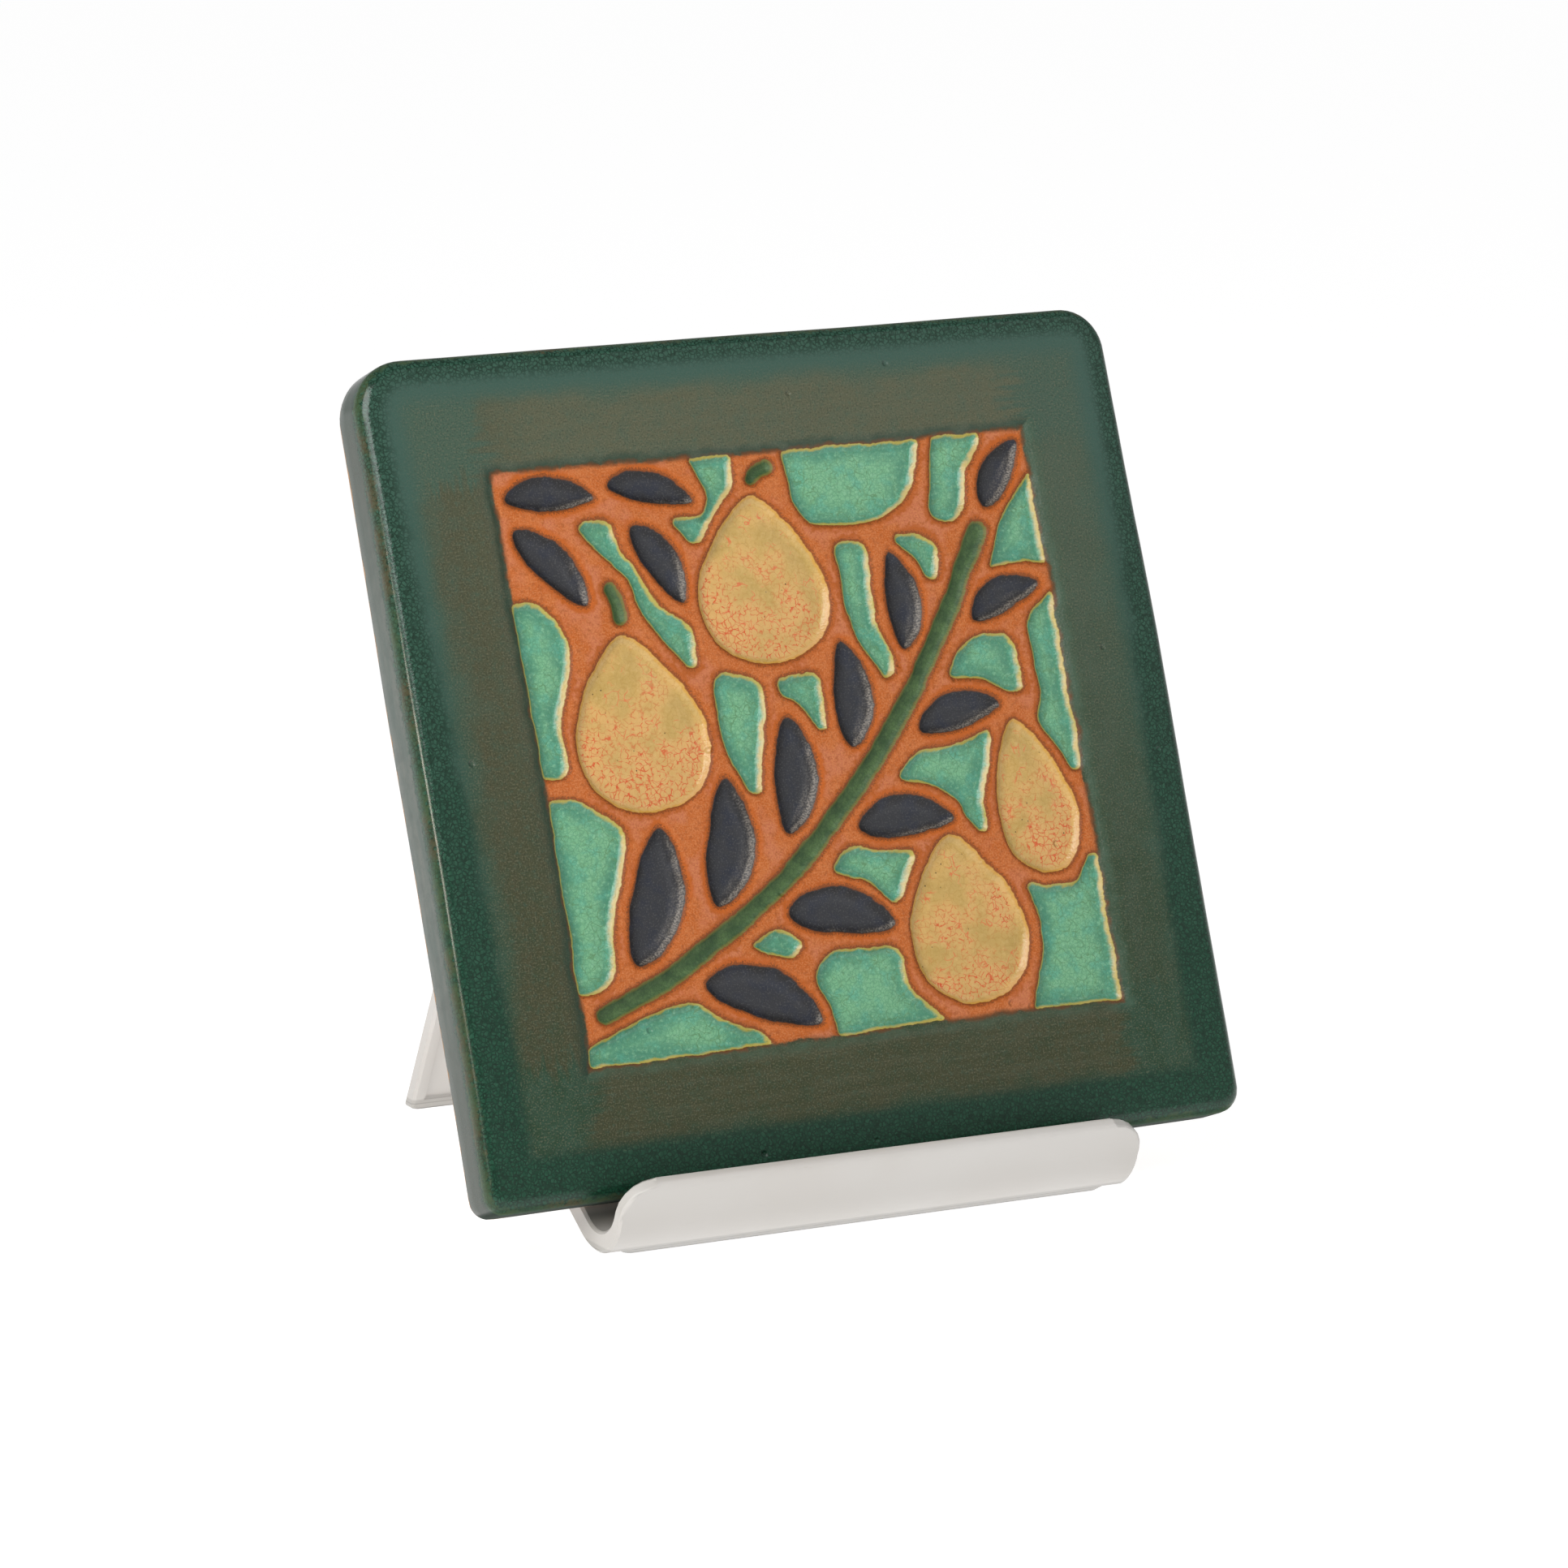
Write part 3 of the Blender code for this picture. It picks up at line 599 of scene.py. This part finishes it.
# Ridges stand between the hollows, and the border swells just outside the sunk panel
nearest_hollow = np.max(list(glaze_inside.values()), axis=0)
ridge = 0.16 * soft_step(-nearest_hollow, 0.2, 1.3) * soft_step(inside_panel, -0.2, 1.0)
sink = panel_sink * soft_step(inside_panel, -2.6, 0.3)
lip_swell = 0.16 * np.exp(-((inside_panel + 3.4) / 1.6) ** 2)
depth_share = np.clip(1 + np.minimum(w, 0) / slab_thickness, 0.0, 1.0)
crown = swell * (1 - (v / half_side) ** 2) * depth_share
uneven = (face_waver * ripple(26.0, everywhere, seed=12.5)
          + face_tremble * ripple(6.0, on_face, seed=2.5))
shaped_w = w + crown + np.where(on_face, uneven - sink - hollow_depth + ridge + lip_swell, 0.0)
shaped_u = u + side_waver * ripple(34.0, everywhere, seed=21.3)
shaped_v = v + side_waver * ripple(34.0, everywhere, seed=27.9)

# How steeply each wall faces the upper left, where the light comes from, for painted light and shade
facing_light = np.zeros(len(u))
grid_shape = (len(up_lines), len(across_lines))
face_w = shaped_w[:len(inset)].reshape(grid_shape)
slope_v, slope_u = np.gradient(face_w, up_lines, across_lines)
facing_light[:len(inset)] = (slope_u * 0.80 - slope_v * 0.60).ravel()

mesh = tile.data
for name, values in (("panel", inside_panel), ("rim", rim), ("facing_light", facing_light),
                     ("low_in_pear", low_in_pear), *glaze_inside.items()):
    mesh.attributes.new(name, "FLOAT", "POINT").data.foreach_set("value", values)
slab_places = mesh.attributes.new("slab", "FLOAT_VECTOR", "POINT")
slab_places.data.foreach_set("vector", np.stack([u, v, w], 1).ravel())

axes = np.array([tile_across, tile_up, -tile_inward])
world_points = np.stack([shaped_u, shaped_v, shaped_w], 1) * MM @ axes + np.array(tile_middle)
mesh.vertices.foreach_set("co", world_points.ravel())
mesh.update()
bpy.ops.object.select_all(action="DESELECT")
tile.select_set(True)
bpy.context.view_layer.objects.active = tile
bpy.ops.object.shade_smooth_by_angle(angle=math.radians(50.0))

# The glazes, worked in millimetres on the slab. Dark green covers the border and the sides.
# Turquoise, cream, navy and leaf green fill the hollows, on a ground of bare-looking terracotta glaze
glaze = Finish("tile_glazes")
slab = glaze.node("Attribute", {}, out="Vector", attribute_name="slab")
slab_axes = glaze.node("SeparateXYZ", {0: slab}).node
slab_u, slab_v, slab_w = slab_axes.outputs


def measure(name):
    return glaze.node("Attribute", {}, out="Fac", attribute_name=name)


blot = glaze.grain(slab, 9.0, detail=2.0)
cloud = glaze.grain(slab, 3.4, detail=2.0)
fleck = glaze.grain(slab, 0.9, detail=2.0, roughness=0.6)
speck = glaze.grain(slab, 0.32, detail=1.0)
ragged = glaze.plus(glaze.ease(cloud, 0.2, 0.8, -0.20, 0.20), glaze.ease(fleck, 0.2, 0.8, -0.16, 0.16))
# How much each wall faces the light, for painted light and shade on the walls
facing_light = measure("facing_light")
panel = glaze.plus(measure("panel"), ragged)
from_rim = measure("rim")
rim_in = glaze.plus(from_rim, glaze.ease(fleck, 0.2, 0.8, -0.6, 0.6))
field = {kind: glaze.plus(measure(kind), glaze.times(ragged, 0.6)) for kind in hollows}
# How low each point lies on the face; the border's greens darken with it, a painted shade for light falling
# off downwards
low_down = glaze.ease(glaze.plus(slab_v, glaze.ease(blot, 0.2, 0.8, -14.0, 14.0)), 66.0, -66.0)

# Border: two coats of strokes, level ones over upright ones, darker towards the tile's foot in a painted
# shade.
# The strokes end short of the edges and of the panel, at places counted from the tile's middle
abs_u = glaze.maths("ABSOLUTE", slab_u)
abs_v = glaze.maths("ABSOLUTE", slab_v)
level_streaks = glaze.grain(glaze.stretched(slab, 0.06, 1.0, 1.0), 1.4, roughness=0.65)
upright_streaks = glaze.grain(glaze.stretched(slab, 1.0, 0.06, 1.0), 1.4, roughness=0.65)
wander = glaze.ease(blot, 0.25, 0.75, -2.0, 2.0)
far_u = glaze.plus(abs_u, wander)
far_v = glaze.plus(abs_v, wander)
level_end = glaze.plus(far_u, glaze.ease(level_streaks, 0.3, 0.7, -2.5, 2.5))
upright_end = glaze.plus(far_v, glaze.ease(upright_streaks, 0.3, 0.7, -2.5, 2.5))
level_band = glaze.times(glaze.ease(far_v, 50.0, 54.0), glaze.ease(far_v, 64.0, 70.0, 1.0, 0.0))
level_band = glaze.times(level_band, glaze.ease(level_end, 52.0, 56.5, 1.0, 0.0))
upright_band = glaze.times(glaze.ease(far_u, 50.0, 55.0), glaze.ease(far_u, 62.5, 69.0, 1.0, 0.0))
upright_band = glaze.times(upright_band, glaze.ease(upright_end, 48.5, 53.0, 1.0, 0.0))
right_side = glaze.ease(slab_u, 30.0, 60.0, 1.0, 0.35)
streaks = glaze.between(glaze.ease(abs_v, 52.0, 56.0), upright_streaks, level_streaks)
olive_share = glaze.times(glaze.most(level_band, glaze.times(upright_band, right_side)),
                          glaze.ease(streaks, 0.20, 0.75, 0.72, 1.0))
olive_share = glaze.times(olive_share, glaze.ease(cloud, 0.25, 0.60, 0.62, 1.0))
green = glaze.blend(low_down, shade_of(62, 84, 69), shade_of(34, 62, 40))
green = glaze.blend(glaze.ease(cloud, 0.3, 0.7, 0.0, 0.35), green, shade_of(56, 84, 70))
olive = glaze.blend(low_down, shade_of(88, 88, 66), shade_of(62, 60, 32))
olive = glaze.blend(glaze.ease(streaks, 0.35, 0.70, 0.0, 0.5), olive, shade_of(74, 80, 60))
olive = glaze.blend(glaze.ease(slab_u, -40.0, -62.0, 0.0, 0.6), olive, shade_of(62, 60, 36))
border = glaze.blend(olive_share, green, olive)
border = glaze.blend(glaze.ease(fleck, 0.50, 0.75, 0.0, 0.35), border, shade_of(58, 90, 74))
border = glaze.blend(glaze.ease(speck, 0.52, 0.70, 0.0, 0.45), border, shade_of(112, 108, 86))
border = glaze.blend(glaze.ease(speck, 0.46, 0.28, 0.0, 0.50), border, shade_of(34, 42, 28))

# The border's edge is teal, and curdles into fine cells where it goes round
teal_edge = glaze.blend(low_down, shade_of(52, 84, 74), shade_of(22, 62, 46))
border = glaze.blend(glaze.ease(rim_in, 10.5, 6.0, 0.0, 0.80), border, teal_edge)
curdle = glaze.crackle(glaze.warped(slab, 0.9, 0.35), 0.75)
curdle_reach = glaze.plus(rim_in, glaze.times(low_down, -4.5))
deep_edge = glaze.blend(low_down, shade_of(44, 78, 64), shade_of(22, 66, 47))
deep_edge = glaze.blend(glaze.ease(fleck, 0.40, 0.70, 0.0, 0.40), deep_edge, shade_of(48, 96, 74))
border = glaze.blend(glaze.ease(curdle_reach, 5.4, 2.8, 0.0, 0.92), border, deep_edge)
curdled = glaze.times(glaze.ease(curdle_reach, 6.4, 3.2), glaze.ease(curdle, 0.22, 0.04))
curdled = glaze.times(curdled, glaze.ease(fleck, 0.30, 0.60, 0.45, 0.95))
border = glaze.blend(curdled, border, shade_of(8, 40, 26))
thin_edge = glaze.times(glaze.ease(rim_in, 1.1, 0.4), glaze.ease(rim_in, -0.6, -0.1))
thin_edge = glaze.times(thin_edge, glaze.ease(cloud, 0.30, 0.65, 0.15, 0.60))
thin_colour = glaze.blend(glaze.ease(blot, 0.50, 0.68), shade_of(66, 82, 48), shade_of(84, 68, 40))
border = glaze.blend(thin_edge, border, thin_colour)

# The sides are greyer, dark towards the top and the foot, and darkest underneath
side_streaks = glaze.grain(glaze.stretched(slab, 0.15, 0.15, 1.0), 1.6, detail=4.0)
side = glaze.blend(glaze.ease(side_streaks, 0.3, 0.7), shade_of(66, 80, 72), shade_of(86, 92, 84))
side = glaze.blend(glaze.ease(cloud, 0.45, 0.70, 0.0, 0.5), side, shade_of(52, 66, 58))
side = glaze.blend(glaze.ease(abs_v, 20.0, 62.0, 0.0, 0.8), side, shade_of(54, 62, 52))
side = glaze.blend(glaze.ease(slab_v, 60.0, 72.0, 0.0, 0.6), side, shade_of(36, 58, 50))
# Painted shade at the bottom edge, where the tile sits in the channel
side = glaze.blend(glaze.ease(slab_v, -73.5, -75.5, 0.0, 0.9), side, shade_of(20, 38, 26))
side = glaze.blend(glaze.ease(fleck, 0.50, 0.75, 0.0, 0.35), side, shade_of(56, 74, 66))
border = glaze.blend(glaze.ease(rim_in, -0.3, -1.5), border, side)

# A painted shadow on the panel's upper and left walls, and a painted highlight on its right and lower walls
collar_shadow = glaze.times(glaze.ease(panel, -2.4, -0.5), glaze.ease(facing_light, -0.06, 0.14, 0.85, 0.0))
collar_shadow = glaze.times(collar_shadow, glaze.ease(cloud, 0.25, 0.60, 0.45, 1.0))
border = glaze.blend(collar_shadow, border, shade_of(26, 56, 40))
shoulder_highlight = glaze.times(glaze.ease(panel, -3.4, -1.0), glaze.ease(facing_light, 0.04, 0.30, 0.0, 0.6))
shoulder_highlight = glaze.times(shoulder_highlight, glaze.ease(cloud, 0.30, 0.65, 0.3, 1.0))
border = glaze.blend(shoulder_highlight, border, shade_of(66, 92, 74))

# Bare clay on the back
bare_clay = glaze.blend(glaze.ease(cloud, 0.3, 0.7), shade_of(176, 140, 108), shade_of(190, 156, 124))
bare_clay = glaze.blend(glaze.ease(speck, 0.58, 0.75, 0.0, 0.5), bare_clay, shade_of(132, 98, 72))
clay_share = glaze.ease(glaze.plus(slab_w, glaze.ease(cloud, 0.2, 0.8, -0.5, 0.5)), -9.0, -9.3)
border = glaze.blend(clay_share, border, bare_clay)

# Terracotta ground, burnt orange round each hollow, with a thin brown line where the glazes meet
nearest = glaze.most(*field.values())
ground = glaze.blend(glaze.ease(cloud, 0.3, 0.7), shade_of(180, 88, 20), shade_of(188, 102, 46))
ground = glaze.blend(glaze.ease(blot, 0.46, 0.60, 0.0, 0.75), ground, shade_of(190, 112, 78))
ground = glaze.blend(glaze.ease(speck, 0.42, 0.66, 0.0, 0.55), ground, shade_of(202, 130, 78))
ground = glaze.blend(glaze.ease(fleck, 0.50, 0.72, 0.0, 0.65), ground, shade_of(158, 82, 34))
ground = glaze.blend(glaze.ease(speck, 0.40, 0.26, 0.0, 0.50), ground, shade_of(148, 72, 30))
halo_reach = glaze.plus(nearest, glaze.ease(blot, 0.2, 0.8, -0.9, 0.9))
halo_reach = glaze.plus(halo_reach, glaze.ease(fleck, 0.25, 0.75, -0.35, 0.35))
ground = glaze.blend(glaze.ease(halo_reach, -1.5, -0.35, 0.0, 0.85), ground, shade_of(168, 82, 10))
navy_near = glaze.ease(field["navy"], -2.0, -0.5, 0.0, 0.7)
navy_near = glaze.times(navy_near, glaze.ease(blot, 0.40, 0.60, 0.3, 1.0))
ground = glaze.blend(navy_near, ground, shade_of(190, 92, 14))
thin_line = glaze.plus(nearest, glaze.ease(speck, 0.2, 0.8, -0.40, 0.40))
ground = glaze.blend(glaze.ease(thin_line, -0.70, -0.25, 0.0, 0.85), ground, shade_of(122, 60, 4))
surface = glaze.blend(glaze.ease(panel, -0.25, 0.30), border, ground)
seam = glaze.times(glaze.ease(panel, -0.8, -0.1), glaze.ease(panel, 0.8, 0.1))
seam = glaze.times(seam, glaze.ease(cloud, 0.35, 0.6, 0.15, 0.8))
surface = glaze.blend(seam, surface, shade_of(96, 56, 22))

# Turquoise: paler and greener where it pools and yellow at its edge, with a painted highlight on walls that
# face the light
net = glaze.crackle(glaze.warped(slab, 2.4, 1.6), 2.3)
pooling = glaze.plus(field["turquoise"], glaze.ease(blot, 0.2, 0.8, -1.6, 1.6))
turquoise = glaze.blend(glaze.ease(pooling, 0.6, 4.2), shade_of(82, 142, 116), shade_of(118, 174, 134))
turquoise = glaze.blend(glaze.ease(cloud, 0.48, 0.68, 0.0, 0.60), turquoise, shade_of(90, 164, 142))
turquoise = glaze.blend(glaze.ease(fleck, 0.48, 0.70, 0.0, 0.50), turquoise, shade_of(136, 188, 152))
turquoise = glaze.blend(glaze.ease(speck, 0.44, 0.26, 0.0, 0.42), turquoise, shade_of(74, 130, 100))
turquoise = glaze.blend(glaze.ease(curdle, 0.14, 0.02, 0.0, 0.35), turquoise, shade_of(64, 120, 90))
broken = glaze.times(glaze.ease(blot, 0.35, 0.60, 0.10, 0.65), glaze.ease(fleck, 0.38, 0.55, 0.3, 1.0))
turquoise = glaze.blend(glaze.times(glaze.ease(net, 0.055, 0.012), broken), turquoise, shade_of(86, 128, 84))
yellow_reach = glaze.plus(field["turquoise"], glaze.ease(cloud, 0.3, 0.7, -0.15, 0.15))
turquoise = glaze.blend(glaze.ease(yellow_reach, 0.60, 0.12, 0.0, 0.85), turquoise, shade_of(190, 168, 70))
turquoise_wall_highlight = glaze.times(glaze.ease(yellow_reach, 1.0, 0.35), glaze.ease(facing_light, 0.45, 1.0, 0.0, 0.70))
turquoise = glaze.blend(turquoise_wall_highlight, turquoise, shade_of(206, 178, 124))
surface = glaze.blend(glaze.ease(field["turquoise"], -0.12, 0.10), surface, turquoise)

# Cream: short red cracks show through towards each pear's foot, and a few pinholes stay open
cream_foot = glaze.plus(measure("low_in_pear"), glaze.ease(blot, 0.25, 0.75, -0.30, 0.30))
blush = glaze.times(glaze.ease(cream_foot, 0.35, 0.75), glaze.ease(field["cream"], 0.4, 1.6))
cream = glaze.blend(glaze.ease(blot, 0.35, 0.65), shade_of(184, 154, 88), shade_of(206, 166, 98))
cream = glaze.blend(glaze.ease(cloud, 0.35, 0.70, 0.0, 0.5), cream, shade_of(208, 172, 108))
cream = glaze.blend(glaze.times(blush, 0.5), cream, shade_of(216, 166, 108))
cream_net = glaze.crackle(glaze.warped(slab, 1.3, 0.45), 1.15)
red_gaps = glaze.ease(fleck, 0.58, 0.42)
net_lines = glaze.ease(cream_net, 0.085, 0.030)
cream = glaze.blend(glaze.times(net_lines, glaze.ease(red_gaps, 0.0, 1.0, 0.15, 0.35)), cream,
                    shade_of(170, 132, 66))
red_share = glaze.times(blush, glaze.most(red_gaps, glaze.ease(cream_foot, 0.70, 1.0)))
cream = glaze.blend(glaze.times(net_lines, red_share), cream, shade_of(206, 88, 52))
stray = glaze.times(glaze.ease(net, 0.045, 0.015), glaze.ease(cloud, 0.50, 0.60))
stray = glaze.times(stray, glaze.ease(field["cream"], 0.8, 2.0, 0.0, 0.8))
cream = glaze.blend(stray, cream, shade_of(212, 104, 66))
pinholes = glaze.crackle(slab, 1.9, feature="F1")
open_holes = glaze.times(glaze.ease(pinholes, 0.085, 0.060), glaze.ease(cloud, 0.52, 0.42))
open_holes = glaze.times(open_holes, glaze.ease(field["cream"], 0.6, 1.0))
cream = glaze.blend(open_holes, cream, shade_of(50, 38, 20))
cream = glaze.blend(glaze.ease(field["cream"], 0.55, 0.15, 0.0, 0.8), cream, shade_of(200, 148, 52))
# A painted highlight on the walls that face the light
cream_wall_highlight = glaze.times(glaze.ease(field["cream"], 1.0, 0.35), glaze.ease(facing_light, 0.45, 1.0, 0.0, 0.6))
cream = glaze.blend(cream_wall_highlight, cream, shade_of(212, 168, 118))
cream = glaze.blend(glaze.ease(fleck, 0.50, 0.75, 0.0, 0.35), cream, shade_of(212, 180, 120))
cream = glaze.blend(glaze.ease(speck, 0.44, 0.26, 0.0, 0.30), cream, shade_of(178, 140, 80))
surface = glaze.blend(glaze.ease(field["cream"], -0.12, 0.10), surface, cream)

# Leaf green, in the bough and the stalks
leaf_green = glaze.blend(glaze.ease(cloud, 0.3, 0.7), shade_of(52, 80, 46), shade_of(78, 106, 62))
leaf_green = glaze.blend(glaze.ease(curdle, 0.12, 0.03, 0.0, 0.35), leaf_green, shade_of(38, 58, 38))
leaf_green = glaze.blend(glaze.ease(fleck, 0.52, 0.75, 0.0, 0.35), leaf_green, shade_of(96, 122, 74))
leaf_green = glaze.blend(glaze.ease(field["green"], 0.6, 0.15, 0.0, 0.7), leaf_green, shade_of(122, 108, 42))
surface = glaze.blend(glaze.ease(field["green"], -0.10, 0.12), surface, leaf_green)

# Navy, satin and nearly black, with pale specks, and painted glints on the walls that face the light
navy = glaze.blend(glaze.ease(field["navy"], 0.4, 2.4), shade_of(24, 22, 24), shade_of(50, 51, 55))
navy = glaze.blend(glaze.ease(cloud, 0.42, 0.75, 0.0, 0.6), navy, shade_of(34, 40, 56))
navy = glaze.blend(glaze.ease(speck, 0.54, 0.70, 0.0, 0.38), navy, shade_of(92, 92, 92))
# Painted glints where the walls face the light
navy_glints = glaze.times(glaze.ease(facing_light, 0.22, 0.65), glaze.ease(speck, 0.36, 0.64, 0.15, 0.75))
navy = glaze.blend(navy_glints, navy, shade_of(138, 130, 120))
navy = glaze.blend(glaze.ease(field["navy"], 0.40, 0.05, 0.0, 0.7), navy, shade_of(54, 36, 26))
surface = glaze.blend(glaze.ease(field["navy"], -0.08, 0.14), surface, navy)

# Gloss and relief: glassy turquoise and cream, a satin border with a glossy edge, matt clay and underside
in_panel = glaze.ease(panel, -0.3, 0.3)
glossy = glaze.most(glaze.ease(field["turquoise"], -0.1, 0.2), glaze.ease(field["cream"], -0.1, 0.2))
satin = glaze.between(in_panel, glaze.ease(fleck, 0.3, 0.7, 0.36, 0.46), 0.55)
satin = glaze.between(glaze.ease(from_rim, 2.6, 1.4), satin, 0.20)
satin = glaze.between(glossy, satin, 0.22)
satin = glaze.between(glaze.ease(field["navy"], -0.1, 0.2), satin, 0.46)
relief = glaze.plus(glaze.times(fleck, 0.9), glaze.times(speck, 0.45))
relief = glaze.plus(relief, glaze.times(streaks, glaze.ease(measure("panel"), -0.3, -1.5, 0.0, 0.6)))
dimples = glaze.crackle(slab, 11.0, feature="F1")
relief = glaze.plus(relief, glaze.ease(dimples, 0.07, 0.02, 0.0, -2.5))
relief = glaze.times(relief, glaze.ease(from_rim, 0.9, 2.6, 0.05, 1.0))
relief = glaze.plus(relief, glaze.times(fleck, glaze.ease(slab_w, -9.0, -9.3, 0.0, 0.3)))
matt = glaze.most(clay_share, glaze.ease(slab_v, -74.8, -75.8))
satin = glaze.between(matt, satin, 0.90)
tile.data.materials.clear()
tile.data.materials.append(glaze.wear(
    Base_Color=surface,
    Roughness=satin,
    Normal=glaze.bump(relief, 0.00012),
    Specular_IOR_Level=0.42,
))
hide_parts("tile")
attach(tile, "root")
